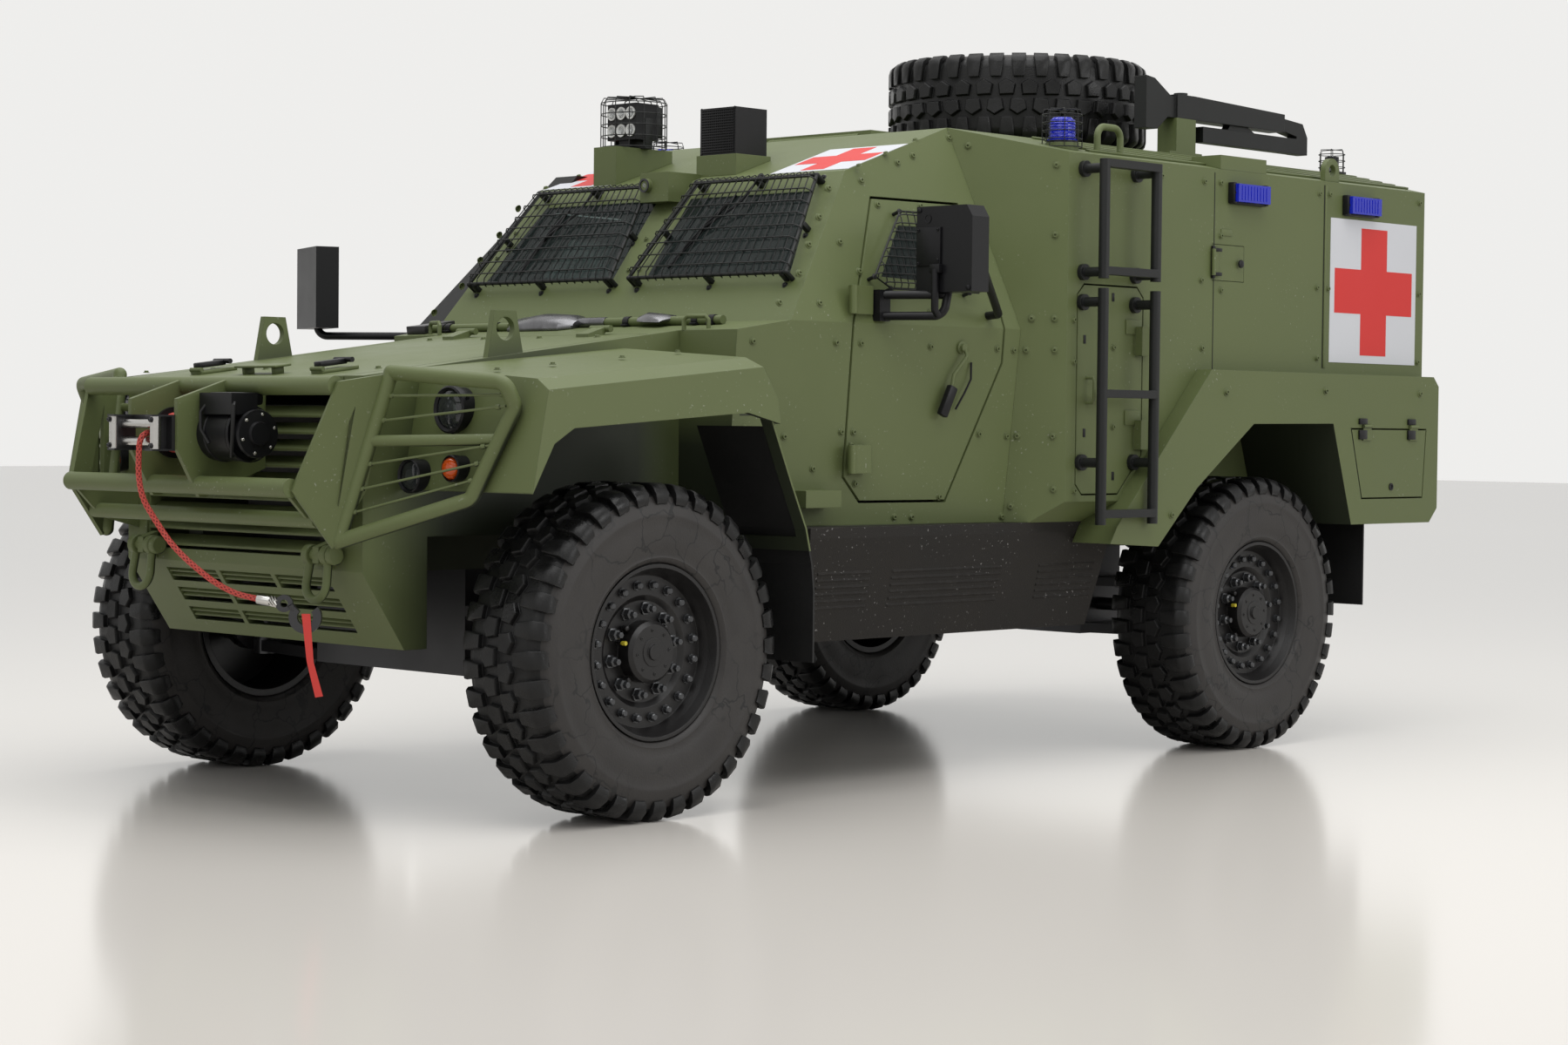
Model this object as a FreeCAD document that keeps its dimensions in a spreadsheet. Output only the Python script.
import FreeCAD, Part

# Armoured 4x4 field ambulance, as a parametric document.
#
# Millimetres.  +X is the vehicle's left, +Y its rear, +Z up; the wheels stand on Z = 0 and the
# origin is under the middle of the vehicle.  Every size that can be set by itself is one row of
# SIZES below and one cell of the "sizes" sheet; the objects are bound to those cells.

import math
import os
import re

import Sketcher

V = FreeCAD.Vector
doc = FreeCAD.newDocument("field_ambulance")

# alias, value (mm, or degrees or a plain ratio where the note says so), note
SIZES = (
    ("wheel_base", 3300, "front axle to rear axle"),
    ("front_axle_y", -1710, "front axle from the origin"),
    ("track_half", 1030, "centre plane of a wheel from the middle of the vehicle"),
    ("tyre_radius", 540, "to the flat tips of the tread lugs"),
    ("tyre_width", 350, "across the side walls"),
    ("lug_height", 16, "tread lug above the carcass"),
    ("lug_width", 92, "one tread lug along the tread"),
    ("lug_count", 20, "lugs round one shoulder, a count"),
    ("rim_radius", 282, "outer lip of the rim"),
    ("rim_lip", 12, "thickness of the rim's sheet"),
    ("rim_dish", 75, "how far the disc sits behind the lip"),
    ("hub_radius", 100, "hub cap"),
    ("hub_length", 60, "hub cap in front of the disc"),
    ("bolt_circle", 203, "ring of rim bolts, radius"),
    ("stub_radius", 45, "wheel spindle"),
    ("spindle_fit", 0.05, "running clearance of the spindle"),
    ("king_offset", 150, "steering axis inboard of the wheel's centre plane"),
    ("wall", 50, "armoured wall, and doors set into it"),
    ("sheet_metal", 12, "unarmoured plate"),
    ("seam", 0.3, "between a fixed insert and its seat"),
    ("door_gap", 9, "round a front door"),
    ("lid_gap", 6, "round a lid, hatch or flap"),
    ("sill_z", 917, "underside of the cab and load floor"),
    ("cowl_front_y", -1090, "front wall of the cab"),
    ("cowl_low_half", 873, "half width of that wall at the sill"),
    ("cowl_half", 920, "half width of that wall at the shoulder"),
    ("cowl_top_half", 695, "half width of that wall, carried up to the ridge"),
    ("cab_flare", 0.0948, "how much the cab side moves out for each unit back, a ratio"),
    ("shoulder_z", 1627, "fold between the lower and upper cab side"),
    ("screen_foot_y", -855, "foot of the windscreen plane"),
    ("screen_top_y", -451, "top of the windscreen plane"),
    ("screen_top_z", 2172, "top of the windscreen plane"),
    ("ridge_y", 107, "highest edge of the cab roof, where the load box starts"),
    ("ridge_z", 2367, "flat of the roof"),
    ("ridge_half", 811, "half width of the flat roof"),
    ("eave_z", 2277, "top edge of the load box's side"),
    ("body_half", 1190, "half width of the load box"),
    ("box_front_y", 350, "front corners of the load box"),
    ("box_rear_y", 2767, "rear wall of the load box"),
    ("box_low_z", 995, "bottom edge of the load box's side"),
    ("box_floor_half", 1080, "half width of the load box's underside"),
    ("well_half", 790, "inner wall of a rear wheel well"),
    ("well_z", 1320, "top of a rear wheel well"),
    ("well_front_y", 830, "front lower corner of a rear wheel well"),
    ("well_low_z", 823, "that corner's height"),
    ("pane_low_z", 1800, "lower edge of a windscreen"),
    ("pane_high_z", 2100, "upper edge of a windscreen"),
    ("pane_inner", 90, "inner edge of a windscreen from the middle"),
    ("pane_foot_half", 815, "outer lower corner of a windscreen"),
    ("pane_top_half", 712, "outer upper corner of a windscreen"),
    ("hinge_x", 985, "front door hinge line from the middle"),
    ("hinge_y", -582, "front door hinge line"),
    ("hinge_height", 100, "front door hinge"),
    ("hood_front_y", -2460, "front edge of the hood"),
    ("hood_front_z", 1407, "top of the hood's front edge"),
    ("hood_slope", 0.133, "rise of the hood for each unit back, a ratio"),
    ("hood_front_inset", 95, "front of the lid in from the engine bay's side"),
    ("hood_rear_inset", 40, "hinge end of the lid in from the engine bay's side"),
    ("hood_hinge_y", -1200, "rear edge of the lid"),
    ("hood_plate", 30, "thickness of the lid's plate"),
    ("bay_half", 640, "outer face of the engine bay's side walls"),
    ("bay_low_z", 900, "bottom of the engine bay's side walls"),
    ("nose_high_z", 793, "top of the sloping lower nose"),
    ("nose_low_z", 542, "bottom of the sloping lower nose"),
    ("nose_rear_y", -2200, "rear end of the lower nose's side plates"),
    ("grille_inset", 110, "side of the grille opening in from the engine bay's side"),
    ("slot_width", 280, "air slot in the lower nose"),
    ("slot_height", 44, "that slot's height"),
    ("slot_rib", 22, "rib between two columns of slots"),
    ("slot_pitch", 68, "one row of slots to the next"),
    ("louvre_count", 9, "slats in the grille, a count"),
    ("louvre_pitch", 54, "one slat to the next"),
    ("eye_x", 621, "front lifting eye from the middle"),
    ("eye_y", -1873, "front lifting eye"),
    ("eye_z", 1571, "hole of the front lifting eye"),
    ("fender_flare", 70, "outer face of the fenders outside the box's side"),
    ("fender_slope", 0.095, "rise of the front fender for each unit back, a ratio"),
    ("fender_front_y", -2236, "upper front edge of the front fender"),
    ("fender_front_z", 1394, "top of the front fender at that edge"),
    ("fender_nose_y", -2302, "lower front corner of the front fender"),
    ("fender_nose_z", 1050, "lower front corner of the front fender"),
    ("fender_tail_y", -1240, "rear edge of the front fender"),
    ("stay_width", 50, "bar that frames the flap behind a front wheel"),
    ("stay_sheet", 8, "thickness of that bar"),
    ("flap_sheet", 8, "thickness of a rubber flap"),
    ("arch_z", 1250, "front wheel arch"),
    ("rear_fender_top_z", 1497, "top edge of the rear fender"),
    ("fender_overhang", 23, "rear fender behind the load box"),
    ("pod_front_y", 2117, "front wall of the stowage pod"),
    ("pod_lid_z", 1278, "hinge line of the stowage lid"),
    ("pod_low_z", 884, "bottom of the stowage pod"),
    ("skirt_top_z", 917, "top edge of the side skirt"),
    ("skirt_low_z", 520, "bottom edge of the side skirt"),
    ("skirt_top_x", 1080, "top edge of the side skirt from the middle"),
    ("skirt_low_x", 1000, "bottom edge of the side skirt from the middle"),
    ("skirt_front_y", -890, "front edge of the side skirt"),
    ("skirt_rear_y", 780, "rear edge of the side skirt"),
    ("rib_rows", 6, "pressed ribs above each other in a skirt, a count"),
    ("rib_low_z", 630, "lowest rib of a skirt"),
    ("rib_pitch", 24, "rib to rib"),
    ("rib_height", 13, "one rib up the skirt"),
    ("belly_low_z", 560, "underside of the hull between the axles"),
    ("belly_half", 400, "half width of that underside"),
    ("bar_radius", 30, "brush guard tube"),
    ("loop_radius", 24, "headlamp guard tube"),
    ("upper_bar_y", -2590, "upper bar of the brush guard"),
    ("upper_bar_z", 1374, "upper bar of the brush guard"),
    ("lower_bar_y", -2710, "lower bar of the brush guard"),
    ("lower_bar_z", 1057, "lower bar of the brush guard"),
    ("third_bar_y", -2610, "third bar of the brush guard"),
    ("third_bar_z", 957, "third bar of the brush guard"),
    ("winch_off_y", 50, "winch drum's axis in front of the upper bar"),
    ("winch_drop", 152, "winch drum's axis below the upper bar"),
    ("fairlead_off", 90, "fairlead's back plate in front of the lower bar"),
    ("drum_half", 118, "half the winch drum's length"),
    ("drum_radius", 58, "winch drum with its rope"),
    ("motor_radius", 88, "winch motor"),
    ("shackle_x", 480, "tow shackle from the middle"),
    ("guard_off", 42, "windscreen guard in front of the windscreen plane"),
    ("guard_wire", 7, "windscreen guard's rim, radius"),
    ("mirror_low_z", 1735, "bottom of the left mirror's head"),
    ("blue_length", 215, "blue side lamp"),
    ("rear_eye_inset", 40, "inner face of a rear lifting eye in from the box's side"),
    ("rear_eye_y", 2090, "rear lifting eye"),
    ("rear_eye_z", 2326, "hole of a rear lifting eye"),
    ("rear_step_depth", 78, "rear step behind the load box"),
    ("ladder_off", 100, "centre line of the ladder's rails from the load box"),
    ("ladder_front_y", 435, "front rail of the ladder"),
    ("ladder_rear_y", 750, "rear rail of the ladder"),
    ("rail_radius", 20, "ladder rail"),
    ("hatch_front_y", 407, "front edge of the side hatch"),
    ("hatch_rear_y", 810, "hinged edge of the side hatch"),
    ("hatch_low_z", 1018, "bottom edge of the side hatch"),
    ("hatch_high_z", 1800, "top edge of the side hatch"),
    ("rope_radius", 9, "winch rope in its sleeve"),
    ("door_front_y", -567, "front edge of a front door below the shoulder"),
    ("door_rear_y", 167, "rear edge of a front door"),
    ("door_low_z", 994, "bottom edge of a front door"),
    ("door_high_z", 2085, "top edge of a front door"),
    ("door_top_front_y", -330, "front end of that top edge"),
    ("door_top_rear_y", 95, "rear end of that top edge"),
    ("door_foot_y", -68, "rear end of the bottom edge"),
    ("door_knee_z", 1500, "where the rear edge starts to lean forward"),
    ("door_draft", 0.2, "lean of the door's cut edges towards the rear, a ratio"),
    ("glass_low_z", 1780, "bottom of a door window"),
    ("glass_high_z", 1985, "top of a door window"),
    ("glass_front_y", -385, "front lower corner of a door window"),
    ("glass_rear_y", 20, "rear edge of a door window"),
    ("rear_door_half", 640, "half width of the rear doorway"),
    ("rear_door_low_z", 975, "sill of the rear doorway"),
    ("rear_door_high_z", 2190, "head of the rear doorway"),
    ("flap_front_y", 1244, "hinged edge of the filler flap"),
    ("flap_rear_y", 1457, "rear edge of the filler flap"),
    ("flap_low_z", 1844, "bottom of the filler flap"),
    ("flap_high_z", 1986, "top of the filler flap"),
    ("roof_hatch_front_y", 250, "hinged edge of the roof hatch"),
    ("roof_hatch_rear_y", 850, "rear edge of the roof hatch"),
    ("roof_hatch_half", 300, "half width of the roof hatch"),
    ("stalk_x", 800, "rear roof lamp from the middle"),
    ("steer_ring", 215, "steering wheel, outer radius"),
    ("steer_grip", 28, "its rim along a radius"),
    ("spare_y", 1494, "middle of the spare wheel"),
    ("spare_low_z", 2425, "underside of the spare wheel"),
    ("engine_length", 850, "engine block"),
    ("rail_inner", 320, "inner face of a chassis rail"),
    ("rail_width", 80, "chassis rail"),
    ("rail_height", 140, "chassis rail"),
    ("crane_x", 775, "crane's slewing post from the middle"),
    ("crane_y", 1590, "crane's slewing post"),
    ("crane_post_z", 2520, "top of the crane's fixed post"),
    ("mirror_in_x", 1090, "inner side of a mirror head"),
    ("mirror_out_x", 1345, "outer side of a mirror head"),
)
# alias, formula over the sizes above, note
PLACES = (
    ("rear_axle_y", "front_axle_y + wheel_base", "rear axle"),
    ("hood_front_half", "bay_half - hood_front_inset", "half width of the lid at its front"),
    ("hood_rear_half", "bay_half - hood_rear_inset", "half width of the lid at its hinge"),
    ("grille_half", "bay_half - grille_inset", "half width of the grille opening"),
    ("fender_half", "body_half + fender_flare", "outer face of the fenders"),
    ("rear_eye_x", "body_half - rear_eye_inset", "inner face of a rear lifting eye"),
    ("king_half", "track_half - king_offset", "steering axis from the middle of the vehicle"),
    ("rear_fender_end_y", "box_rear_y + fender_overhang", "rearmost face of the rear fender"),
    ("rear_step_y", "box_rear_y + rear_step_depth", "rear edge of the rear step"),
    ("ladder_x", "body_half + ladder_off", "centre line of the ladder's rails"),
    ("winch_y", "upper_bar_y - winch_off_y", "winch drum's axis"),
    ("winch_z", "upper_bar_z - winch_drop", "winch drum's axis"),
    ("fairlead_y", "lower_bar_y - fairlead_off", "face of the fairlead's back plate"),
    ("spare_z", "spare_low_z + tyre_width / 2", "middle plane of the spare wheel"),
)
sheet = doc.addObject("Spreadsheet::Sheet", "sizes")
for row, (alias, value, note) in enumerate(SIZES + PLACES, 1):
    sheet.set(f"A{row}", note)
    sheet.set(f"B{row}", str(value) if row <= len(SIZES) else "=" + value)
    sheet.setAlias(f"B{row}", alias)
doc.recompute()
ALIASES = {alias for alias, value, note in SIZES + PLACES}


# ---- helpers: they take expressions over the aliases and return document objects --------------

def cells(text):
    """The expression with every alias turned into a reference to its cell."""
    return re.sub(r"[a-z_]\w*", lambda m: "sizes." + m[0] if m[0] in ALIASES else m[0], str(text))


def number(text):
    """The present value of an expression."""
    found = sheet.evalExpression(cells(text))
    return float(getattr(found, "Value", found))


def point(corner):
    return V(*(number(text) for text in corner))


def place(obj, corner):
    for letter, text in zip("xyz", corner):
        obj.setExpression(f"Placement.Base.{letter}", cells(text))
    return obj


def box(name, low, high):
    """A block between two corners."""
    obj = doc.addObject("Part::Box", name)
    for side, a, b in zip(("Length", "Width", "Height"), low, high):
        obj.setExpression(side, cells(f"({b}) - ({a})"))
    return place(obj, low)


TURNS = {"x": (V(0, 1, 0), 90), "y": (V(1, 0, 0), -90), "z": (V(0, 0, 1), 0)}


def rod(name, foot, axis, radius, length):
    """A cylinder that starts at foot and runs along a positive axis."""
    obj = doc.addObject("Part::Cylinder", name)
    obj.Placement.Rotation = FreeCAD.Rotation(*TURNS[axis])
    obj.setExpression("Radius", cells(radius))
    obj.setExpression("Height", cells(length))
    return place(obj, foot)


# plane: the sketch's turn, the axis that it is pushed along, the first and second coordinate
PLANES = {
    "side": (FreeCAD.Rotation(V(0, 1, 0), V(0, 0, 1), V(1, 0, 0), "ZXY"), "x"),
    "front": (FreeCAD.Rotation(V(1, 0, 0), V(0, 0, 1), V(0, -1, 0), "ZXY"), "y"),
    "plan": (FreeCAD.Rotation(), "z"),
}


def draw(sk, corners):
    """Closed outline in a sketch, every corner tied to the sheet."""
    at = [V(number(u), number(v), 0) for u, v in corners]
    count = len(at)
    for i in range(count):
        sk.addGeometry(Part.LineSegment(at[i], at[(i + 1) % count]), False)
    for i in range(count):
        sk.addConstraint(Sketcher.Constraint("Coincident", i, 2, (i + 1) % count, 1))
    for i, corner in enumerate(corners):
        for kind, text in zip(("DistanceX", "DistanceY"), corner):
            k = sk.addConstraint(Sketcher.Constraint(kind, -1, 1, i, 1, number(text)))
            sk.setExpression(f"Constraints[{k}]", cells(text))
    return sk


def prism(name, plane, corners, start, end, push=(0, 0, 0), at=None):
    """An outline on the side (Y, Z), front (X, Z) or plan (X, Y) plane, pushed from start to end.

    push is its drift along X, Y and Z for each unit; at is where the outline itself is true."""
    turn, letter = PLANES[plane]
    at = start if at is None else at
    sk = draw(doc.addObject("Sketcher::SketchObject", name + "_outline"), corners)
    sk.Placement.Rotation = turn
    sk.setExpression(f"Placement.Base.{letter}", cells(at))
    obj = doc.addObject("Part::Extrusion", name)
    obj.Base = sk
    obj.DirMode = "Custom"
    obj.Solid = True
    steps = [1 if axis == letter else step for axis, step in zip("xyz", push)]
    obj.Dir = V(*(number(step) for step in steps))
    for axis, step in zip("xyz", steps):
        obj.setExpression(f"Dir.{axis}", cells(step))
    stretch = "sqrt(" + " + ".join(f"({step})^2" for step in steps) + ")"
    obj.setExpression("LengthFwd", cells(f"(({end}) - ({at})) * {stretch}"))
    obj.setExpression("LengthRev", cells(f"(({at}) - ({start})) * {stretch}"))
    return obj


def fuse(name, *pieces):
    obj = doc.addObject("Part::MultiFuse", name)
    obj.Shapes = list(pieces)
    obj.Refine = True
    return obj


def cut(name, base, *tools):
    obj = doc.addObject("Part::Cut", name)
    obj.Base = base
    obj.Tool = tools[0] if len(tools) == 1 else fuse(name + "_tools", *tools)
    obj.Refine = True
    return obj


def common(name, first, second):
    obj = doc.addObject("Part::Common", name)
    obj.Base = first
    obj.Tool = second
    obj.Refine = True
    return obj


def group(name, *pieces):
    """Like pieces that don't touch, kept as one sub-part."""
    obj = doc.addObject("Part::Compound", name)
    obj.Links = list(pieces)
    return obj


def mirror(piece):
    """The same piece on the other side of the vehicle."""
    obj = doc.addObject("Part::Mirroring", piece.Name + "_mirrored")
    obj.Source = piece
    obj.Normal = V(1, 0, 0)
    return obj


def both(name, piece):
    return group(name, piece, mirror(piece))


def grown(name, solid, by):
    """A solid with every face moved out by a distance, corners kept sharp."""
    obj = doc.addObject("Part::Offset", name)
    obj.Source = solid
    obj.setExpression("Value", cells(by))
    obj.Join = 2
    obj.Intersection = True
    return obj


def made(name, shape):
    """A piece that neither a sketch nor a primitive suits, from sizes read off the sheet."""
    obj = doc.addObject("Part::Feature", name)
    obj.Shape = shape
    obj.Placement = FreeCAD.Placement()
    return obj


def tube(name, corners, bend, radius):
    """A round bar along straight runs joined by tangent arcs; bend is their radius."""
    at = [point(corner) for corner in corners]
    bend, radius = number(bend), number(radius)
    edges, begin = [], at[0]
    for before, here, after in zip(at, at[1:], at[2:]):
        u = (before - here).normalize()
        w = (after - here).normalize()
        half = u.getAngle(w) / 2
        back = bend / math.tan(half)
        middle = here + (u + w).normalize() * (bend / math.sin(half) - bend)
        edges.append(Part.makeLine(begin, here + u * back))
        edges.append(Part.Arc(here + u * back, middle, here + w * back).toShape())
        begin = here + w * back
    edges.append(Part.makeLine(begin, at[-1]))
    path = Part.Wire(edges)
    ring = Part.Wire(Part.makeCircle(radius, at[0], at[1] - at[0]))
    return made(name, path.makePipeShell([ring], True, False))


def stick(name, start, end, radius):
    """A straight round bar between two points in space, with a ball at each end."""
    a, b = point(start), point(end)
    r = number(radius)
    bar = Part.makeCylinder(r, (b - a).Length, a, b - a)
    return made(name, bar.fuse(Part.makeSphere(r, a)).fuse(Part.makeSphere(r, b)).removeSplitter())


def slab(name, corners, thickness):
    """A flat plate from corners in space that lie in one plane, thickened along its normal."""
    at = [point(corner) for corner in corners]
    normal = (at[1] - at[0]).cross(at[2] - at[0]).normalize()
    flat = [p - normal * (p - at[0]).dot(normal) for p in at]
    face = Part.Face(Part.makePolygon(flat + flat[:1]))
    return made(name, face.extrude(normal * number(thickness)))


def turned(name, corners):
    """A body turned about its own X axis: corners are (along the axle, radius)."""
    body = doc.addObject("PartDesign::Body", name)
    sk = body.newObject("Sketcher::SketchObject", name + "_profile")
    flat = [f for f in body.Origin.OriginFeatures if f.Role == "XY_Plane"][0]
    sk.AttachmentSupport = (flat, "")
    sk.MapMode = "FlatFace"
    draw(sk, corners)
    spin = body.newObject("PartDesign::Revolution", name + "_turned")
    spin.Profile = sk
    spin.ReferenceAxis = (sk, ["H_Axis"])
    spin.Angle = 360
    body.Tip = spin
    return body


nodes = {}


def node(name, obj):
    """Names a finished sub-part: its label is its file's name."""
    obj.Label = name
    nodes[name] = obj
    return obj


def node_pair(name, left):
    """The same sub-part on the left and on the right."""
    node(name + "_left", left)
    return node(name + "_right", mirror(left))


# ---- hull: cab and load box ------------------------------------------------------------------

COWL_Z = "(hood_front_z + hood_slope * (cowl_front_y - hood_front_y))"
cab_side = prism("cab_side", "side", (
    ("cowl_front_y", "sill_z"), ("cowl_front_y", COWL_Z), ("screen_foot_y", "shoulder_z"),
    ("screen_top_y", "screen_top_z"), ("ridge_y", "ridge_z"), ("box_front_y", "ridge_z"),
    ("box_front_y", "sill_z")), "-body_half", "body_half")
cab_half = prism("cab_half", "front", (
    ("-cowl_half / 2", "sill_z"), ("cowl_low_half", "sill_z"), ("cowl_half", "shoulder_z"),
    ("cowl_top_half", "ridge_z"), ("-cowl_half / 2", "ridge_z")),
    "cowl_front_y", "box_front_y", ("cab_flare", 1, 0))
cab_outer = common("cab_outer", cab_side, fuse("cab_flanks", cab_half, mirror(cab_half)))
cab_room = grown("cab_room", cab_outer, "-wall")

box_plan = prism("box_plan", "plan", (
    ("ridge_half", "ridge_y"), ("body_half", "box_front_y"), ("body_half", "box_rear_y"),
    ("-body_half", "box_rear_y"), ("-body_half", "box_front_y"), ("-ridge_half", "ridge_y")),
    "sill_z", "ridge_z")
box_section = prism("box_section", "front", (
    ("box_floor_half", "sill_z"), ("body_half", "box_low_z"), ("body_half", "eave_z"),
    ("ridge_half", "ridge_z"), ("-ridge_half", "ridge_z"), ("-body_half", "eave_z"),
    ("-body_half", "box_low_z"), ("-box_floor_half", "sill_z")), "ridge_y", "box_rear_y")
box_outer = common("box_outer", box_plan, box_section)
box_room = grown("box_room", box_outer, "-wall")


def well(name, inner, slack):
    """Wheel well and pod space, open below and to the side."""
    return prism(name, "side", (
        (f"well_front_y - {slack}", "well_low_z"),
        (f"well_front_y + 244 - {slack}", "well_low_z + 220"),
        (f"well_front_y + 612 - {slack}", f"well_z + {slack}"),
        (f"box_rear_y + {slack}", f"well_z + {slack}"),
        (f"box_rear_y + {slack}", "well_low_z")), inner, "body_half + wall")


wells = both("wells", well("well_left", "well_half", "0"))
well_skins = both("well_skins", well("well_skin_left", "well_half - wall", "wall"))

door_cut = prism("door_cut", "side", (
    ("door_top_front_y", "door_high_z"), ("door_front_y", "shoulder_z"),
    ("door_front_y", "door_low_z + 90"), ("door_front_y + 85", "door_low_z"),
    ("door_foot_y", "door_low_z"), ("door_rear_y", "door_knee_z"),
    ("door_rear_y", "shoulder_z + 122"), ("door_top_rear_y", "door_high_z")),
    "cowl_top_half", "body_half", (1, "door_draft", 0), "hinge_x")
window_cut = prism("window_cut", "side", (
    ("glass_front_y", "glass_low_z + 15"), ("glass_rear_y", "glass_low_z"),
    ("glass_rear_y - 20", "glass_high_z"), ("glass_front_y + 135", "glass_high_z")),
    "cowl_top_half", "body_half")
screen_cut = prism("screen_cut", "front", (
    ("pane_inner", "pane_low_z"), ("pane_foot_half", "pane_low_z"),
    ("pane_top_half", "pane_high_z"), ("pane_inner", "pane_high_z")),
    "screen_foot_y - wall", "screen_top_y + 200")

cab_wall = cut("cab_wall", cab_outer, cab_room)
ridge_trim = box("ridge_trim", ("-body_half", "ridge_y", "ridge_z - 15"),
                 ("body_half", "box_front_y", "ridge_z + 1"))
node("cab_shell", cut("cab_shell", cab_wall, box_outer, ridge_trim, both("door_cuts", door_cut),
                      both("screen_cuts", screen_cut)))

hatch_cut = prism("hatch_cut", "side", (
    ("hatch_front_y", "hatch_low_z + 40"), ("hatch_front_y + 40", "hatch_low_z"),
    ("hatch_rear_y - 145", "hatch_low_z"), ("hatch_rear_y", "hatch_low_z + 147"),
    ("hatch_rear_y", "hatch_high_z - 40"), ("hatch_rear_y - 40", "hatch_high_z"),
    ("hatch_front_y + 40", "hatch_high_z"), ("hatch_front_y", "hatch_high_z - 40")),
    "body_half - wall - 30", "body_half + 30")
rear_door_cut = box("rear_door_cut", ("-rear_door_half", "box_rear_y - wall - 30", "rear_door_low_z"),
                    ("rear_door_half", "box_rear_y + 30", "rear_door_high_z"))
flap_cut = box("flap_cut", ("body_half - sheet_metal", "flap_front_y", "flap_low_z"),
               ("body_half + 10", "flap_rear_y", "flap_high_z"))
roof_cut = box("roof_cut", ("lid_gap + 50 - roof_hatch_half", "roof_hatch_front_y + 50",
                            "ridge_z - wall - 30"),
               ("roof_hatch_half - 50 - lid_gap", "roof_hatch_rear_y - 50", "ridge_z + 30"))
box_space = cut("box_space", box_room, well_skins)
node("box_shell", cut("box_shell", box_outer, wells, box_space, cab_room, rear_door_cut,
                      hatch_cut, flap_cut, roof_cut))

# ---- panes, doors and hatches ----------------------------------------------------------------

screen = common("screen", cab_wall, grown("screen_block", screen_cut, "-seam"))
node("windscreens", both("windscreens", screen))

door_slab = common("door_slab", cab_wall, grown("door_block", door_cut, "-door_gap"))
hinges = []
for place_name, low in (("lower", "door_low_z + 105"), ("upper", "shoulder_z + 30")):
    hinges += [
        rod(f"{place_name}_barrel", ("hinge_x", "hinge_y", low), "z", "14", "hinge_height"),
        box(f"{place_name}_strap", ("hinge_x - 22", "hinge_y", low),
            ("hinge_x - 4", "door_front_y + 90", f"{low} + hinge_height")),
        cut(f"{place_name}_pad", box(
            f"{place_name}_pad_block", ("hinge_x - 90", "door_front_y + 15", low),
            ("hinge_x - 4", "door_front_y + 90", f"{low} + hinge_height")), cab_outer)]
node_pair("front_door", fuse("front_door", cut("door_panel", door_slab, window_cut), *hinges))
node_pair("door_glass", common("door_glass", cab_wall, grown("glass_block", window_cut, "-seam")))

leaf = box("leaf", ("lid_gap + 1", "box_rear_y - wall", "rear_door_low_z + lid_gap"),
           ("rear_door_half - lid_gap", "box_rear_y", "rear_door_high_z - lid_gap"))
rear_hinges = []
for i in range(3):
    low = f"rear_door_low_z + 120 + {i} * 430"
    rear_hinges += [
        rod(f"rear_barrel_{i}", ("rear_door_half + 15", "box_rear_y + 20", low), "z", "20 - seam", "110"),
        box(f"rear_strap_{i}", ("rear_door_half - 160", "box_rear_y", low),
            ("rear_door_half + 15", "box_rear_y + 20", f"{low} + 110"))]
rear_straps = cut("rear_straps", fuse("rear_hinges", *rear_hinges), box(
    "rear_jamb", ("rear_door_half - lid_gap - 1", "box_rear_y - wall", "rear_door_low_z"),
    ("body_half", "box_rear_y + seam", "rear_door_high_z")))
node_pair("rear_door", fuse("rear_door", leaf, rear_straps))

hatch_panel = common("hatch_panel", box("hatch_skin", ("body_half - wall", "0", "box_low_z"), (
    "body_half", "box_rear_y / 2", "ridge_z")), grown("hatch_block", hatch_cut, "-lid_gap"))
hatch_hinges = []
for i, low in enumerate(("hatch_low_z + 170", "hatch_high_z - 260")):
    hatch_hinges += [
        rod(f"hatch_barrel_{i}", ("body_half + 35", "hatch_rear_y + 12", low), "z", "12", "110"),
        box(f"hatch_arm_{i}", ("body_half + 25", "hatch_rear_y - 50", low),
            ("body_half + 35", "hatch_rear_y + 12", f"{low} + 110")),
        box(f"hatch_pad_{i}", ("body_half", "hatch_rear_y - 50", low),
            ("body_half + 25", "hatch_rear_y - 22", f"{low} + 110"))]
node("side_hatch", fuse("side_hatch", hatch_panel, *hatch_hinges))
flap_plate = box("flap_plate", ("body_half - sheet_metal + seam", "flap_front_y + 2", "flap_low_z + 2"),
                 ("body_half", "flap_rear_y - 2", "flap_high_z - 2"))
flap_hinge = fuse(
    "flap_hinge", rod("flap_barrel", ("body_half + 12", "flap_front_y - 4", "flap_low_z + 20"), "z",
                      "8", "flap_high_z - flap_low_z - 40"),
    box("flap_strap", ("body_half + 6", "flap_front_y - 4", "flap_low_z + 20"),
        ("body_half + 12", "flap_front_y + 30", "flap_high_z - 20")),
    box("flap_pad", ("body_half", "flap_front_y + 8", "flap_low_z + 20"),
        ("body_half + 6", "flap_front_y + 30", "flap_high_z - 20")))
node("filler_flap", fuse("filler_flap", flap_plate, flap_hinge))
hatch_lid = box("hatch_lid", ("-roof_hatch_half", "roof_hatch_front_y", "ridge_z + seam"),
                ("roof_hatch_half", "roof_hatch_rear_y", "ridge_z + 35"))
node("roof_hatch", fuse("roof_hatch", hatch_lid, rod(
    "roof_hinge", ("-roof_hatch_half + 60", "roof_hatch_front_y", "ridge_z + 13"), "x", "12",
    "roof_hatch_half * 2 - 120")))

# ---- engine bay, hood and front fenders ------------------------------------------------------

def hood_z(y):
    return f"(hood_front_z + hood_slope * (({y}) - hood_front_y))"


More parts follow.
